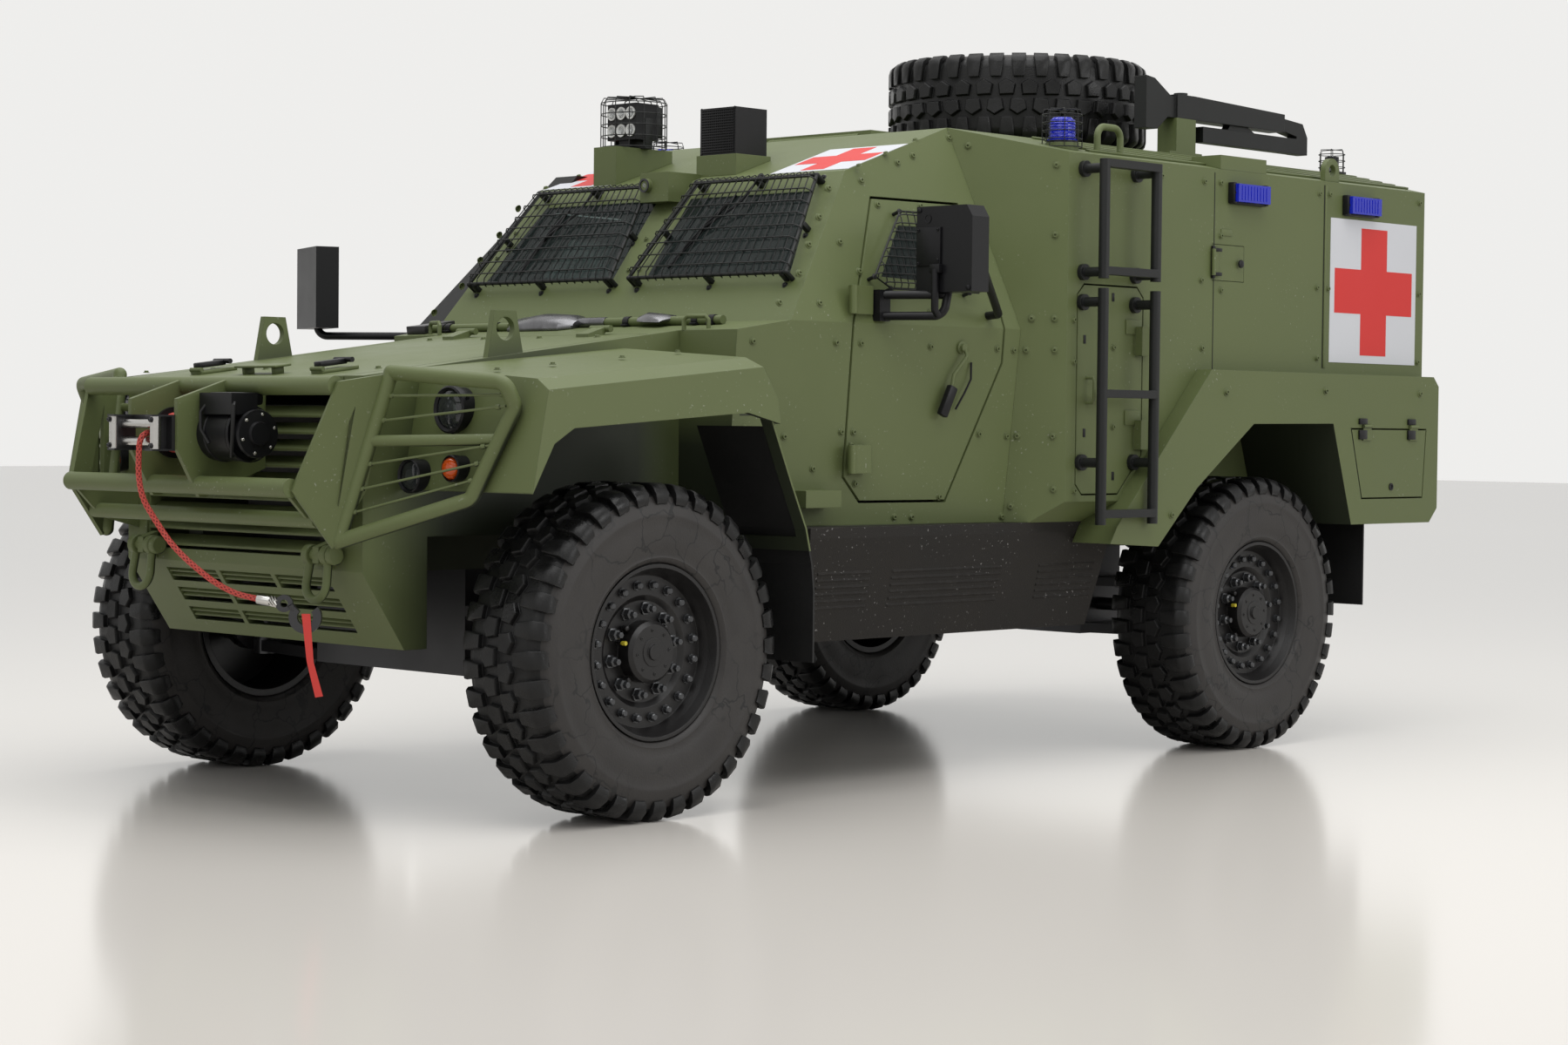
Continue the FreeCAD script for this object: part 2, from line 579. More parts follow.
bay_outer = prism("bay_outer", "side", (
    ("hood_front_y + 169", "nose_low_z"), ("hood_front_y", "nose_high_z"),
    ("hood_front_y", "hood_front_z - hood_plate"),
    ("cowl_front_y", f"{hood_z('cowl_front_y')} - hood_plate"), ("cowl_front_y", "bay_low_z"),
    ("nose_rear_y", "bay_low_z"), ("nose_rear_y", "nose_low_z")), "-bay_half", "bay_half")
bay_space = prism("bay_space", "side", (
    ("hood_front_y + 60", "ridge_z"), ("hood_front_y + 60", "nose_high_z + 15"),
    ("hood_front_y + 235", "nose_low_z - 6"), ("cowl_front_y + 1", "nose_low_z - 6"),
    ("cowl_front_y + 1", "ridge_z")), "25 - bay_half", "bay_half - 25")
air_cut = box("air_cut", ("-grille_half", "hood_front_y - 1", "nose_high_z + 40"),
              ("grille_half", "hood_front_y + 61", "hood_front_z - hood_plate - 30"))
low_slots = fuse("low_slots", *(
    box(f"low_slot_{column}_{row}",
        (f"({column} - 1) * (slot_width + slot_rib) - slot_width / 2", "hood_front_y - 1",
         f"nose_low_z + 45 + {row} * slot_pitch"),
        (f"({column} - 1) * (slot_width + slot_rib) + slot_width / 2", "hood_front_y + 260",
         f"nose_low_z + 45 + {row} * slot_pitch + slot_height"))
    for column in range(3) for row in range(3)))
deck = prism("deck", "side", (
    ("hood_front_y", "hood_front_z - hood_plate"), ("hood_front_y", "hood_front_z"),
    ("cowl_front_y", hood_z("cowl_front_y")),
    ("cowl_front_y", f"{hood_z('cowl_front_y')} - hood_plate")), "-bay_half", "bay_half")
lid_plan = prism("lid_plan", "plan", (
    ("hood_front_half", "hood_front_y - 20"), ("hood_rear_half", "hood_hinge_y"),
    ("-hood_rear_half", "hood_hinge_y"), ("-hood_front_half", "hood_front_y - 20")),
    "hood_front_z - 100", "ridge_z")
eye = cut("eye", prism("eye_plate", "side", (
    ("eye_y - 75", hood_z("eye_y - 75")), ("eye_y + 75", hood_z("eye_y + 75")),
    ("eye_y + 45", "eye_z + 60"), ("eye_y - 45", "eye_z + 60")), "eye_x - 12", "eye_x + 12"),
    rod("eye_hole", ("eye_x - 20", "eye_y", "eye_z"), "x", "38", "40"))
node("front_body", fuse("front_body", cut("bay_walls", bay_outer, bay_space, air_cut, low_slots),
                        cut("deck_rim", deck, lid_plan), eye, mirror(eye)))
hood_arm = prism("hood_arm", "side", (
    ("hood_hinge_y - 90", hood_z("hood_hinge_y - 90")),
    ("hood_hinge_y - 90", f"{hood_z('hood_hinge_y - 90')} + 12"),
    ("hood_hinge_y", f"{hood_z('hood_hinge_y')} + 28"),
    ("hood_hinge_y", f"{hood_z('hood_hinge_y')} + 12"),
    ("hood_hinge_y - 15", hood_z("hood_hinge_y - 15"))), "330", "390")
hood_barrel = rod("hood_barrel", ("310", "hood_hinge_y", f"{hood_z('hood_hinge_y')} + 20"), "x",
                  "12", "100")
hood_plate = common("hood_lid", deck, grown("lid_block", lid_plan, "-lid_gap"))
node("hood", fuse("hood", hood_plate, hood_arm, mirror(hood_arm), hood_barrel, mirror(hood_barrel)))

FENDER_LEAN = "((fender_front_y - fender_nose_y) / (fender_front_z - fender_nose_z))"
fender_side = prism("fender_side", "side", (
    ("fender_nose_y", "fender_nose_z"),
    (f"fender_front_y + {FENDER_LEAN} * 200", "fender_front_z + 200"),
    ("fender_tail_y - 170", "fender_front_z + 200"), ("fender_tail_y", "arch_z + 100"),
    ("fender_tail_y + 12", "arch_z + 20"), ("fender_tail_y - 140", "arch_z + 55"),
    ("fender_front_y + 101", "arch_z"), ("fender_front_y + 20", "arch_z - 48")),
    "bay_half", "fender_half")


def fender_block(name, inset, start, end):
    """Crowned fender section, all of it inset from the outer faces."""
    return prism(name, "front", (
        ("bay_half", "bay_low_z"), ("bay_half", f"fender_front_z + 43 - {inset}"),
        ("fender_half - 60", f"fender_front_z + 6 - {inset}"),
        (f"fender_half - {inset}", f"fender_front_z - 28 - {inset} / 2"),
        (f"fender_half - {inset}", "bay_low_z")),
        start, end, (0, 1, "fender_slope"), "fender_front_y")


fender = cut("fender", common("fender_solid", fender_side, fender_block(
    "fender_shape", "0", "fender_nose_y - 20", "fender_tail_y + 20")),
    fender_block("fender_space", "sheet_metal * 2", "fender_front_y + 30", "fender_tail_y + 30"))
# face of the flap that hangs behind the wheel, from the fender's tail down: Y and Z
FLAP_FACE = (
    ("fender_tail_y - 5", "arch_z + 12"), ("cowl_front_y - 67", "sill_z + 152"),
    ("cowl_front_y + 3", "sill_z + 6"), ("cowl_front_y + 35", "sill_z - 114"),
    ("cowl_front_y + 45", "sill_z - 204"), ("cowl_front_y + 45", "skirt_low_z - 43"))


def sheet_on(name, face, near, far, start, end):
    """A sheet between two distances along Y from a bent face."""
    return prism(name, "side", [(f"{y} + ({near})", z) for y, z in face]
                 + [(f"{y} + ({far})", z) for y, z in reversed(face)], start, end)


STAY_FACE = (("fender_tail_y - 27", "arch_z + 60"), *FLAP_FACE[1:3], ("cowl_front_y + 22", "sill_z - 67"))
FOOT_FACE = (("cowl_front_y + 10", "sill_z - 22"), STAY_FACE[-1])
stay = fuse("stay", *(
    sheet_on(name, face, "-stay_sheet - seam", "-seam", start, "fender_half - 10")
    for name, face, start in (("stay_side", STAY_FACE, "fender_half - 10 - stay_width"),
                              ("stay_foot", FOOT_FACE, "cowl_half + 10"))))
node("front_fenders", both("front_fenders", fuse("fender_with_stay", fender, stay)))

# ---- rear fenders with their stowage pods ----------------------------------------------------

flare = prism("flare", "side", (
    ("hatch_front_y + 129", "pod_low_z - 45"), ("hatch_front_y + 169", "pod_low_z + 19"),
    ("hatch_front_y + 752", "rear_fender_top_z"), ("rear_fender_end_y - 40", "rear_fender_top_z"),
    ("rear_fender_end_y", "rear_fender_top_z - 40"), ("rear_fender_end_y", "pod_low_z + 60"),
    ("rear_fender_end_y - 60", "pod_low_z"), ("pod_front_y + 20", "pod_low_z"),
    ("pod_front_y - 120", "well_z - 25"), ("well_front_y + 612", "well_z - 30"),
    ("well_front_y + 244", "well_low_z + 220"), ("well_front_y", "well_low_z")),
    "box_floor_half", "fender_half")
pod = prism("pod", "side", (
    ("pod_front_y + 20", "pod_low_z"), ("pod_front_y - 128", "well_z"),
    ("box_rear_y", "well_z"), ("box_rear_y", "pod_low_z + 60"),
    ("rear_fender_end_y - 60", "pod_low_z")), "well_half + seam", "fender_half")
pod_space = box("pod_space", ("well_half + 30", "pod_front_y + 60", "pod_low_z + 40"),
                ("fender_half - 20", "box_rear_y - 30", "well_z - 25"))
bin_cut = prism("bin_cut", "side", (
    ("pod_front_y + 7", "pod_lid_z"), ("pod_front_y + 93", "pod_low_z + 103"),
    ("rear_fender_end_y - 115", "pod_low_z + 103"), ("rear_fender_end_y - 91", "pod_lid_z")),
    "fender_half - 30", "fender_half + 10")
rear_fender = cut("rear_fender", fuse("rear_fender_solid", cut(
    "flare_seated", flare, cut("box_side", box_outer, wells)), pod), pod_space, bin_cut)
node("rear_fenders", both("rear_fenders", rear_fender))
bin_lid = common("bin_lid", grown("bin_lid_block", bin_cut, "-lid_gap"), box(
    "bin_lid_skin", ("fender_half - sheet_metal", "pod_front_y", "pod_low_z"),
    ("fender_half", "rear_fender_end_y", "rear_fender_top_z")))
bin_hinges = []
for i, y in enumerate(("pod_front_y + 90", "rear_fender_end_y - 230")):
    bin_hinges += [
        rod(f"bin_barrel_{i}", ("fender_half + 8", y, "pod_lid_z + 7"), "y", "7.5", "60"),
        box(f"bin_strap_{i}", ("fender_half", y, "pod_lid_z - 50"),
            ("fender_half + 8", f"{y} + 60", "pod_lid_z - lid_gap")),
        box(f"bin_arm_{i}", ("fender_half + 3", y, "pod_lid_z - 20"),
            ("fender_half + 8", f"{y} + 60", "pod_lid_z + 7"))]
node_pair("stowage_lid", fuse("stowage_lid", bin_lid, *bin_hinges))

# ---- belly, rails, engine and running gear ---------------------------------------------------

belly = prism("belly", "front", (
    ("skirt_low_x - 30", "sill_z"), ("skirt_low_x - 30", "sill_z - 110"),
    ("belly_half", "belly_low_z"), ("-belly_half", "belly_low_z"),
    ("30 - skirt_low_x", "sill_z - 110"), ("30 - skirt_low_x", "sill_z")),
    "skirt_front_y", "skirt_rear_y")
rail = box("rail", ("rail_inner", "hood_front_y + 80 + seam", "sill_z - rail_height"),
           ("rail_inner + rail_width", "box_rear_y", "sill_z"))
node("chassis_floor", fuse("chassis_floor", belly, rail, mirror(rail)))
node("engine", box("engine", ("seam - rail_inner", "front_axle_y - engine_length / 2 - 60", "sill_z - 90"),
                   ("rail_inner - seam", "front_axle_y + engine_length / 2", "hood_front_z - 90")))

ARM = (("rail_inner + rail_width", "130"), ("king_half - 30", "40"),
       ("king_half - 30", "-40"), ("rail_inner + rail_width", "-130"))


def axle_set(name, y, knuckle_fixed):
    """Axle carrier, arms, half shafts and spring struts of one axle, left half mirrored."""
    def arm(label, low, high):
        return prism(label, "plan", [(x, f"{y} + ({v})") for x, v in ARM], low, high)
    left = [
        arm(name + "_lower_arm", "tyre_radius - 115", "tyre_radius - 75"),
        arm(name + "_upper_arm", "tyre_radius + 80", "tyre_radius + 115"),
        rod(name + "_lower_boss", ("king_half", y, "tyre_radius - 125"), "z", "42", "55"),
        rod(name + "_upper_boss", ("king_half", y, "tyre_radius + 75"), "z", "42", "50"),
        rod(name + "_half_shaft", ("rail_inner", y, "tyre_radius"), "x", "26",
            "king_half - rail_inner - 65"),
        rod(name + "_strut", ("rail_inner + 260", f"{y} + 75", "tyre_radius - 80"), "z", "34",
            "sill_z - tyre_radius + 60"),
        box(name + "_strut_seat", ("rail_inner + rail_width", f"{y} + 35", "sill_z - 45"),
            ("rail_inner + 294", f"{y} + 115", "sill_z - 18")),
    ]
    if knuckle_fixed:
        left += [rod(name + "_spindle", ("king_half - 80", y, "tyre_radius"), "x",
                     "stub_radius", "track_half + 190 - king_half"),
                 rod(name + "_brake", ("king_half + 45", y, "tyre_radius"), "x", "115", "55"),
                 box(name + "_upright", ("king_half - 20", f"{y} - 42", "tyre_radius - 80"),
                     ("king_half + 30", f"{y} + 42", "tyre_radius + 80"))]
    carrier = box(name + "_carrier", ("-rail_inner - rail_width", f"{y} - 130", "tyre_radius - 120"),
                  ("rail_inner + rail_width", f"{y} + 130", "sill_z - rail_height"))
    half = fuse(name + "_half", *left)
    return fuse(name, carrier, half, mirror(half))


node("suspension", group("suspension", axle_set("front_axle", "front_axle_y", False),
                         axle_set("rear_axle", "rear_axle_y", True)))
knuckle = fuse(
    "knuckle",
    rod("knuckle_post", ("king_half", "front_axle_y", "tyre_radius - 69.7"), "z", "38", "144.4"),
    rod("knuckle_brake", ("king_half + 45", "front_axle_y", "tyre_radius"), "x", "115", "55"),
    rod("knuckle_spindle", ("king_half", "front_axle_y", "tyre_radius"), "x", "stub_radius",
        "track_half + 110 - king_half"))
node_pair("knuckle", knuckle)

# wheels: profiles run along the axle from the wheel's centre plane, outwards positive
LIP = "(tyre_width / 2 - 18)"
DISC = f"({LIP} - rim_dish)"
RIM = (
    (f"{DISC} + hub_length", "0"), (f"{DISC} + hub_length", "hub_radius - 12"),
    (f"{DISC} + hub_length - 12", "hub_radius"), (DISC, "hub_radius"), (DISC, "bolt_circle - 40"),
    (f"{DISC} + 14", "bolt_circle - 22"), (f"{DISC} + 14", "rim_radius - 2 * rim_lip - 14"),
    (f"{LIP} - 30", "rim_radius - 2 * rim_lip"), (LIP, "rim_radius - rim_lip"),
    (LIP, "rim_radius"), (f"{LIP} - rim_lip", "rim_radius"),
    (f"{LIP} - rim_lip", "rim_radius - rim_lip"), (f"rim_lip - {LIP}", "rim_radius - rim_lip"),
    (f"rim_lip - {LIP}", "rim_radius"), (f"-{LIP}", "rim_radius"),
    (f"-{LIP}", "rim_radius - 2 * rim_lip"), (f"{DISC} - 14", "rim_radius - 2 * rim_lip"),
    (f"{DISC} - 14", "stub_radius + 40"), ("-20", "stub_radius + 40"),
    ("-20", "stub_radius + spindle_fit"), ("112", "stub_radius + spindle_fit"), ("112", "0"))
CARCASS = "(tyre_radius - lug_height)"
# half of the tyre's section: place along the axle, distance of the flats from the axle
TYRE_HALF = (
    ("tyre_width / 2 - 45", CARCASS), ("tyre_width / 2 - 12", f"{CARCASS} - 38"),
    ("tyre_width / 2", f"{CARCASS} - 100"), (f"{LIP} - rim_lip - seam", "rim_radius + 2"),
    (f"{LIP} - rim_lip - seam", "rim_radius - rim_lip + seam"))
LUG = (("tyre_width / 2 - 100", f"{CARCASS} - 6"), ("tyre_width / 2 - 100", "tyre_radius"),
       ("tyre_width / 2 - 20", "tyre_radius"), ("tyre_width / 2 - 12", f"{CARCASS} - 38"))


def copy_of(name, body, base, turn):
    """A piece made once and set down again: a link keeps it tied to its source."""
    obj = doc.addObject("Part::Compound", name)
    obj.Links = [body]
    obj.Placement.Rotation = turn
    return place(obj, base)


def mirrored(corners):
    return [(f"-({u})", v) for u, v in reversed(corners)]


# one pitch of the tread: a flat wedge of the section with a lug on each shoulder, then set round
HALF_PITCH = "180 / lug_count"
pitch = fuse(
    "pitch", common("pitch_wedge", prism(
        "pitch_section", "plan", mirrored(TYRE_HALF) + list(TYRE_HALF),
        "-tyre_radius / 2", "tyre_radius / 2"),
        prism("sector", "side", (
            ("0", "0"), ("2 * tyre_radius", f"-2 * tyre_radius * tan({HALF_PITCH})"),
            ("2 * tyre_radius", f"2 * tyre_radius * tan({HALF_PITCH})")), "-tyre_width", "tyre_width")),
    prism("outer_lug", "plan", LUG, "-lug_width / 2", "lug_width / 2"),
    prism("inner_lug", "plan", mirrored(LUG), "-lug_width / 2", "lug_width / 2"))
lug_count = int(number("lug_count"))
tyre_body = fuse("tyre_body", *(
    copy_of(f"pitch_{i}", pitch, ("0", "0", "0"), FreeCAD.Rotation(V(1, 0, 0), 360 * i / lug_count))
    for i in range(lug_count)))
rim_body = turned("rim_body", RIM)


OUT_LEFT, OUT_RIGHT = FreeCAD.Rotation(), FreeCAD.Rotation(V(0, 0, 1), 180)
for where, y in (("front", "front_axle_y"), ("rear", "rear_axle_y")):
    for side, x, turn in (("left", "track_half", OUT_LEFT), ("right", "-track_half", OUT_RIGHT)):
        for kind, body in (("tyre", tyre_body), ("rim", rim_body)):
            name = f"{kind}_{where}_{side}"
            node(name, copy_of(name, body, (x, y, "tyre_radius"), turn))
FACE_UP = FreeCAD.Rotation(V(0, 1, 0), -90)
node("spare_wheel", fuse("spare_wheel",
                         copy_of("spare_tyre", tyre_body, ("0", "spare_y", "spare_z"), FACE_UP),
                         copy_of("spare_rim", rim_body, ("0", "spare_y", "spare_z"), FACE_UP)))

# ---- grille, brush guard, winch and what hangs on the nose ------------------------------------

SLAT_Z = "nose_high_z + 50"
slats = [prism(f"slat_{i}", "side", (
    ("hood_front_y + 8", f"{SLAT_Z} + {i} * louvre_pitch"),
    ("hood_front_y + 52", f"{SLAT_Z} + {i} * louvre_pitch + 30"),
    ("hood_front_y + 52", f"{SLAT_Z} + {i} * louvre_pitch + 38"),
    ("hood_front_y + 8", f"{SLAT_Z} + {i} * louvre_pitch + 8")),
    "seam - grille_half", "grille_half - seam") for i in range(int(number("louvre_count")))]
slat_ends = both("slat_ends", box(
    "slat_end", ("grille_half - seam - 8", "hood_front_y + 8", "nose_high_z + 40 + seam"),
    ("grille_half - seam", "hood_front_y + 52", "hood_front_z - hood_plate - 30 - seam")))
node("grille", fuse("grille", slat_ends, *slats))

guard_plate = cut("guard_plate", slab("gusset", (
    ("674", "upper_bar_y", "upper_bar_z + 13"), ("603", "lower_bar_y", "lower_bar_z - 8"),
    ("624", "third_bar_y + 40", "third_bar_z - 86"), ("690", "lower_bar_y + 230", "lower_bar_z - 7"),
    ("733", "upper_bar_y + 150", "upper_bar_z + 38")), "15"), slab("gusset_hole", (
        ("698", "upper_bar_y + 55", "upper_bar_z - 64"), ("640", "lower_bar_y + 90", "lower_bar_z + 3"),
        ("655", "lower_bar_y + 145", "lower_bar_z - 57")), "-60"))
LOOP = (("740", "-2430", "1417"), ("1146", "-2318", "1387"), ("1153", "-2280", "1313"),
        ("1009", "-2332", "1029"), ("636", "-2550", "892"))
guard_loop = fuse(
    "guard_loop", tube("loop_tube", LOOP, "34", "loop_radius"),
    stick("loop_leg", LOOP[-1], LOOP[0], "loop_radius"),
    stick("loop_bar", ("638", "-2510", "1202"), ("1085", "-2295", "1213"), "18"))
guard_foot = rod("guard_foot", ("bay_half", "hood_front_y + 16", "upper_bar_z - 70"), "x", "14", "72")
guard_arm = prism("guard_arm", "side", (
    ("lower_bar_y", "lower_bar_z - 20"), ("lower_bar_y", "lower_bar_z + 20"),
    ("hood_front_y", "lower_bar_z - 20"), ("hood_front_y", "third_bar_z - 60"),
    ("third_bar_y", "third_bar_z - 20")), "575", "590")
winch_plate = prism("winch_plate", "side", (
    ("lower_bar_y - 90", "upper_bar_z - 44"), ("lower_bar_y - 90", "upper_bar_z - 204"),
    ("lower_bar_y - 5", "lower_bar_z - 37"), ("lower_bar_y + 20", "lower_bar_z - 37"),
    ("hood_front_y", "lower_bar_z + 53"), ("hood_front_y", "upper_bar_z + 10"),
    ("upper_bar_y", "upper_bar_z + 26")), "drum_half", "drum_half + 18")
bars = [rod("upper_bar", ("-668", "upper_bar_y", "upper_bar_z"), "x", "bar_radius", "1336"),
        rod("lower_bar", ("-606", "lower_bar_y", "lower_bar_z"), "x", "bar_radius", "1212"),
        rod("third_bar", ("-612", "third_bar_y", "third_bar_z"), "x", "bar_radius - 5", "1224")]
guard_half = fuse("guard_half", guard_plate, guard_loop, guard_foot, guard_arm, winch_plate)
node("brush_guard", fuse("brush_guard", *bars, guard_half, mirror(guard_half)))

drum = fuse(
    "winch_drum", rod("drum", ("-drum_half", "winch_y", "winch_z"), "x", "drum_radius", "2 * drum_half"),
    rod("drum_cheek", ("drum_half - 12", "winch_y", "winch_z"), "x", "drum_radius + 25", "12"),
    rod("drum_cheek_far", ("-drum_half", "winch_y", "winch_z"), "x", "drum_radius + 25", "12"))
motor = rod("motor", ("drum_half + 18", "winch_y", "winch_z"), "x", "motor_radius", "150")
node("winch", group(
    "winch", drum, fuse(
    "winch_drive", motor,
    rod("motor_cap", ("drum_half + 168", "winch_y", "winch_z"), "x", "motor_radius - 26", "50"),
    box("winch_switch", ("drum_half + 30", "winch_y - 85", "winch_z + 60"),
        ("drum_half + 200", "winch_y + 15", "winch_z + 128"))),
    rod("winch_gear", ("-drum_half - 158", "winch_y", "winch_z"), "x", "motor_radius - 6", "140")))

fair_back = cut("fair_back", box(
    "fair_plate", ("-drum_half - 6", "fairlead_y - 12", "winch_z - 57"),
    ("drum_half + 6", "fairlead_y", "winch_z + 57")), box(
        "fair_window", ("25 - drum_half", "fairlead_y - 13", "winch_z - 27"),
        ("drum_half - 25", "fairlead_y + 1", "winch_z + 27")))
fair_ears = fuse("fair_ears", *(
    box(f"fair_ear_{i}", ("drum_half - 33", "fairlead_y - 86", low),
        ("drum_half + 6", "fairlead_y - 12", f"{low} + 6"))
    for i, low in enumerate(("winch_z - 57", "winch_z + 51"))))
fair_cheek = box("fair_cheek", ("drum_half - 29", "fairlead_y - 70", "winch_z - 51"),
                 ("drum_half - 23", "fairlead_y - 12", "winch_z + 51"))
node("fairlead", fuse("fairlead", fair_back, fair_ears, mirror(fair_ears), fair_cheek,
                      mirror(fair_cheek)))
fair_upright = rod("fair_upright", ("drum_half - 5", "fairlead_y - 66", "winch_z - 51"), "z",
                   "17", "102")
node("fairlead_rollers", group(
    "fairlead_rollers", fair_upright, mirror(fair_upright), *(
        rod(f"fair_roller_{i}", ("29 - drum_half", "fairlead_y - 45", z), "x", "14",
            "2 * drum_half - 58")
        for i, z in enumerate(("winch_z - 27", "winch_z + 28")))))

ROPE = (("40", "winch_y - drum_radius - seam", "winch_z"), ("41", "fairlead_y - 30", "winch_z"),
        ("43", "-2856", "1221"), ("44", "-2877", "1200"), ("40", "-2878", "1160"),
        ("35", "-2876", "1085"), ("42", "-2866", "1016"), ("63", "-2843", "961"),
        ("131", "-2808", "858"), ("237", "-2750", "765"), ("296", "-2719", "731"),
        ("343", "-2694", "713"), ("390", "-2669", "706"))
node("winch_rope", tube("winch_rope", ROPE, "22", "rope_radius"))
rope_end, rope_before = point(ROPE[-1]), point(ROPE[-2])
rope_run = (rope_end - rope_before).normalize()
ferrule = Part.makeCylinder(14, 62, rope_end, rope_run)
EYE_AT = rope_end + rope_run * 62
FACING, ACROSS = V(0.692, -0.722, 0), V(0.722, 0.692, 0)
HOOK_AT = EYE_AT + V(64, 62, -46)
RING_AT = EYE_AT + rope_run * 25 - FACING * 8
hook_ring = Part.makeCylinder(27, 16, RING_AT, FACING).cut(Part.makeCylinder(12, 16, RING_AT, FACING))
hook_bow = Part.makeCylinder(51, 26, V(0, 0, -13), V(0, 0, 1), 265).cut(
    Part.makeCylinder(25, 26, V(0, 0, -13)))
hook_bow.rotate(V(), V(0, 0, 1), 135)
hook_bow.Placement = FreeCAD.Placement(HOOK_AT, FreeCAD.Rotation(
    ACROSS, V(0, 0, 1), FACING, "ZXY")).multiply(hook_bow.Placement)
shank_foot = EYE_AT + rope_run * 44
shank_run = HOOK_AT + V(-24, -23, 19) - shank_foot
hook_shank = Part.makeCylinder(11, shank_run.Length, shank_foot, shank_run)
hook = ferrule.fuse(hook_ring).fuse(hook_shank).fuse(hook_bow)
node("rope_hook", made("rope_hook", hook))
STRAP = ((-10, 11), (17, 11), (28, -139), (58, -246), (34, -250), (7, -139))
strap_at = [HOOK_AT + FACING * 13.3 + ACROSS * u + V(0, 0, v) for u, v in STRAP]
strap_face = Part.Face(Part.makePolygon(strap_at + strap_at[:1]))
node("hook_strap", made("hook_strap", strap_face.extrude(FACING * 3)))

shackle_lug = prism("shackle_lug", "side", (
    ("hood_front_y", "nose_high_z + 5"), ("hood_front_y", "nose_high_z + 95"),
    ("hood_front_y - 60", "nose_high_z + 75"), ("hood_front_y - 60", "nose_high_z + 25")),
    "shackle_x - 16", "shackle_x + 16")
shackle_pin = rod("shackle_pin", ("shackle_x - 62", "hood_front_y - 42", "nose_high_z + 50"), "x",
                  "19", "124")
shackle_bow = tube("shackle_bow", (
    ("shackle_x - 44", "hood_front_y - 42", "nose_high_z + 50"),
    ("shackle_x - 56", "hood_front_y - 62", "nose_high_z - 90"),
    ("shackle_x + 56", "hood_front_y - 62", "nose_high_z - 90"),
    ("shackle_x + 44", "hood_front_y - 42", "nose_high_z + 50")), "50", "14")
node("shackles", both("shackles", fuse("shackle", shackle_lug, shackle_pin, shackle_bow)))

fender_face = prism("fender_face", "side", (
    (f"fender_nose_y - {FENDER_LEAN} * 200", "fender_nose_z - 200"),
    (f"fender_front_y + {FENDER_LEAN} * 100", "fender_front_z + 100"),
    ("fender_tail_y", "fender_front_z + 100"), ("fender_tail_y", "fender_nose_z - 200")),
    "bay_half", "fender_half")
lamps = []
# name, place outwards from the engine bay's side, height, radius
for name, off, z, r in (("headlamp", 220, 1304, 70), ("low_lamp", 76, 1096, 52),
                        ("indicator", 272, 1122, 40)):
    lamps.append(rod(name, (
        f"bay_half + {off}", f"fender_nose_y + {FENDER_LEAN} * ({z} - fender_nose_z) - 34", z), "y", r, "80"))
node("front_lamps", both("front_lamps", cut("front_lamp_set", group("lamp_rods", *lamps), fender_face)))

# ---- windscreen guards, air duct, mirrors and tools ------------------------------------------

SCREEN_LEAN = "((screen_top_y - screen_foot_y) / (screen_top_z - shoulder_z))"


def screen_point(x, z, off="0"):
    """A point that stands off the windscreen plane by off along its normal."""
    slope = f"sqrt(1 + {SCREEN_LEAN}^2)"
    return (x, f"screen_foot_y + {SCREEN_LEAN} * ({z} - shoulder_z) - ({off}) / {slope}",
            f"{z} + ({off}) * {SCREEN_LEAN} / {slope}")


GUARD = (("51", "1772"), ("848", "1772"), ("739", "2131"), ("132", "2131"))
guard_rim = [stick(f"guard_side_{i}", screen_point(*GUARD[i], "guard_off"),
                   screen_point(*GUARD[(i + 1) % 4], "guard_off"), "guard_wire") for i in range(4)]
guard_feet = [stick(f"guard_foot_{i}", screen_point(x, z, "-20"), screen_point(x, z, "guard_off"),
                    "guard_wire + 2") for i, (x, z) in enumerate(GUARD)]
screen_guard = cut("screen_guard", fuse("screen_guard_raw", *guard_rim, *guard_feet), cab_outer)
node("screen_guards", both("screen_guards", screen_guard))


def frustum(name, low, high):
    """A straight-sided duct between two level rectangles: (x, x, y, y, z) each."""
    ends = []
    for x1, x2, y1, y2, z in (low, high):
        x1, x2, y1, y2, z = (number(text) for text in (x1, x2, y1, y2, z))
        ends.append(Part.makePolygon([V(x1, y1, z), V(x2, y1, z), V(x2, y2, z), V(x1, y2, z), V(x1, y1, z)]))
    return made(name, Part.makeLoft(ends, True, True))


node("air_duct", cut("air_duct", frustum(
    "duct", ("-1085", "-860", "screen_foot_y - 15", "screen_foot_y + 110", "shoulder_z - 20"),
    ("-865", "-740", "screen_top_y + 131", "screen_top_y + 251", "screen_top_z + 68")), cab_outer))


def mirror_head(name, x1, x2, y1, y2, low, high):
    """A rectangular housing with its upper outer corner cut, hollow towards the rear."""
    outline = ((x1, low), (x2, low), (x2, f"{high} - 40"), (f"({x2}) * 0.9 + ({x1}) * 0.1", high),
               (x1, high))
    return prism(name, "front", outline, y1, y2)


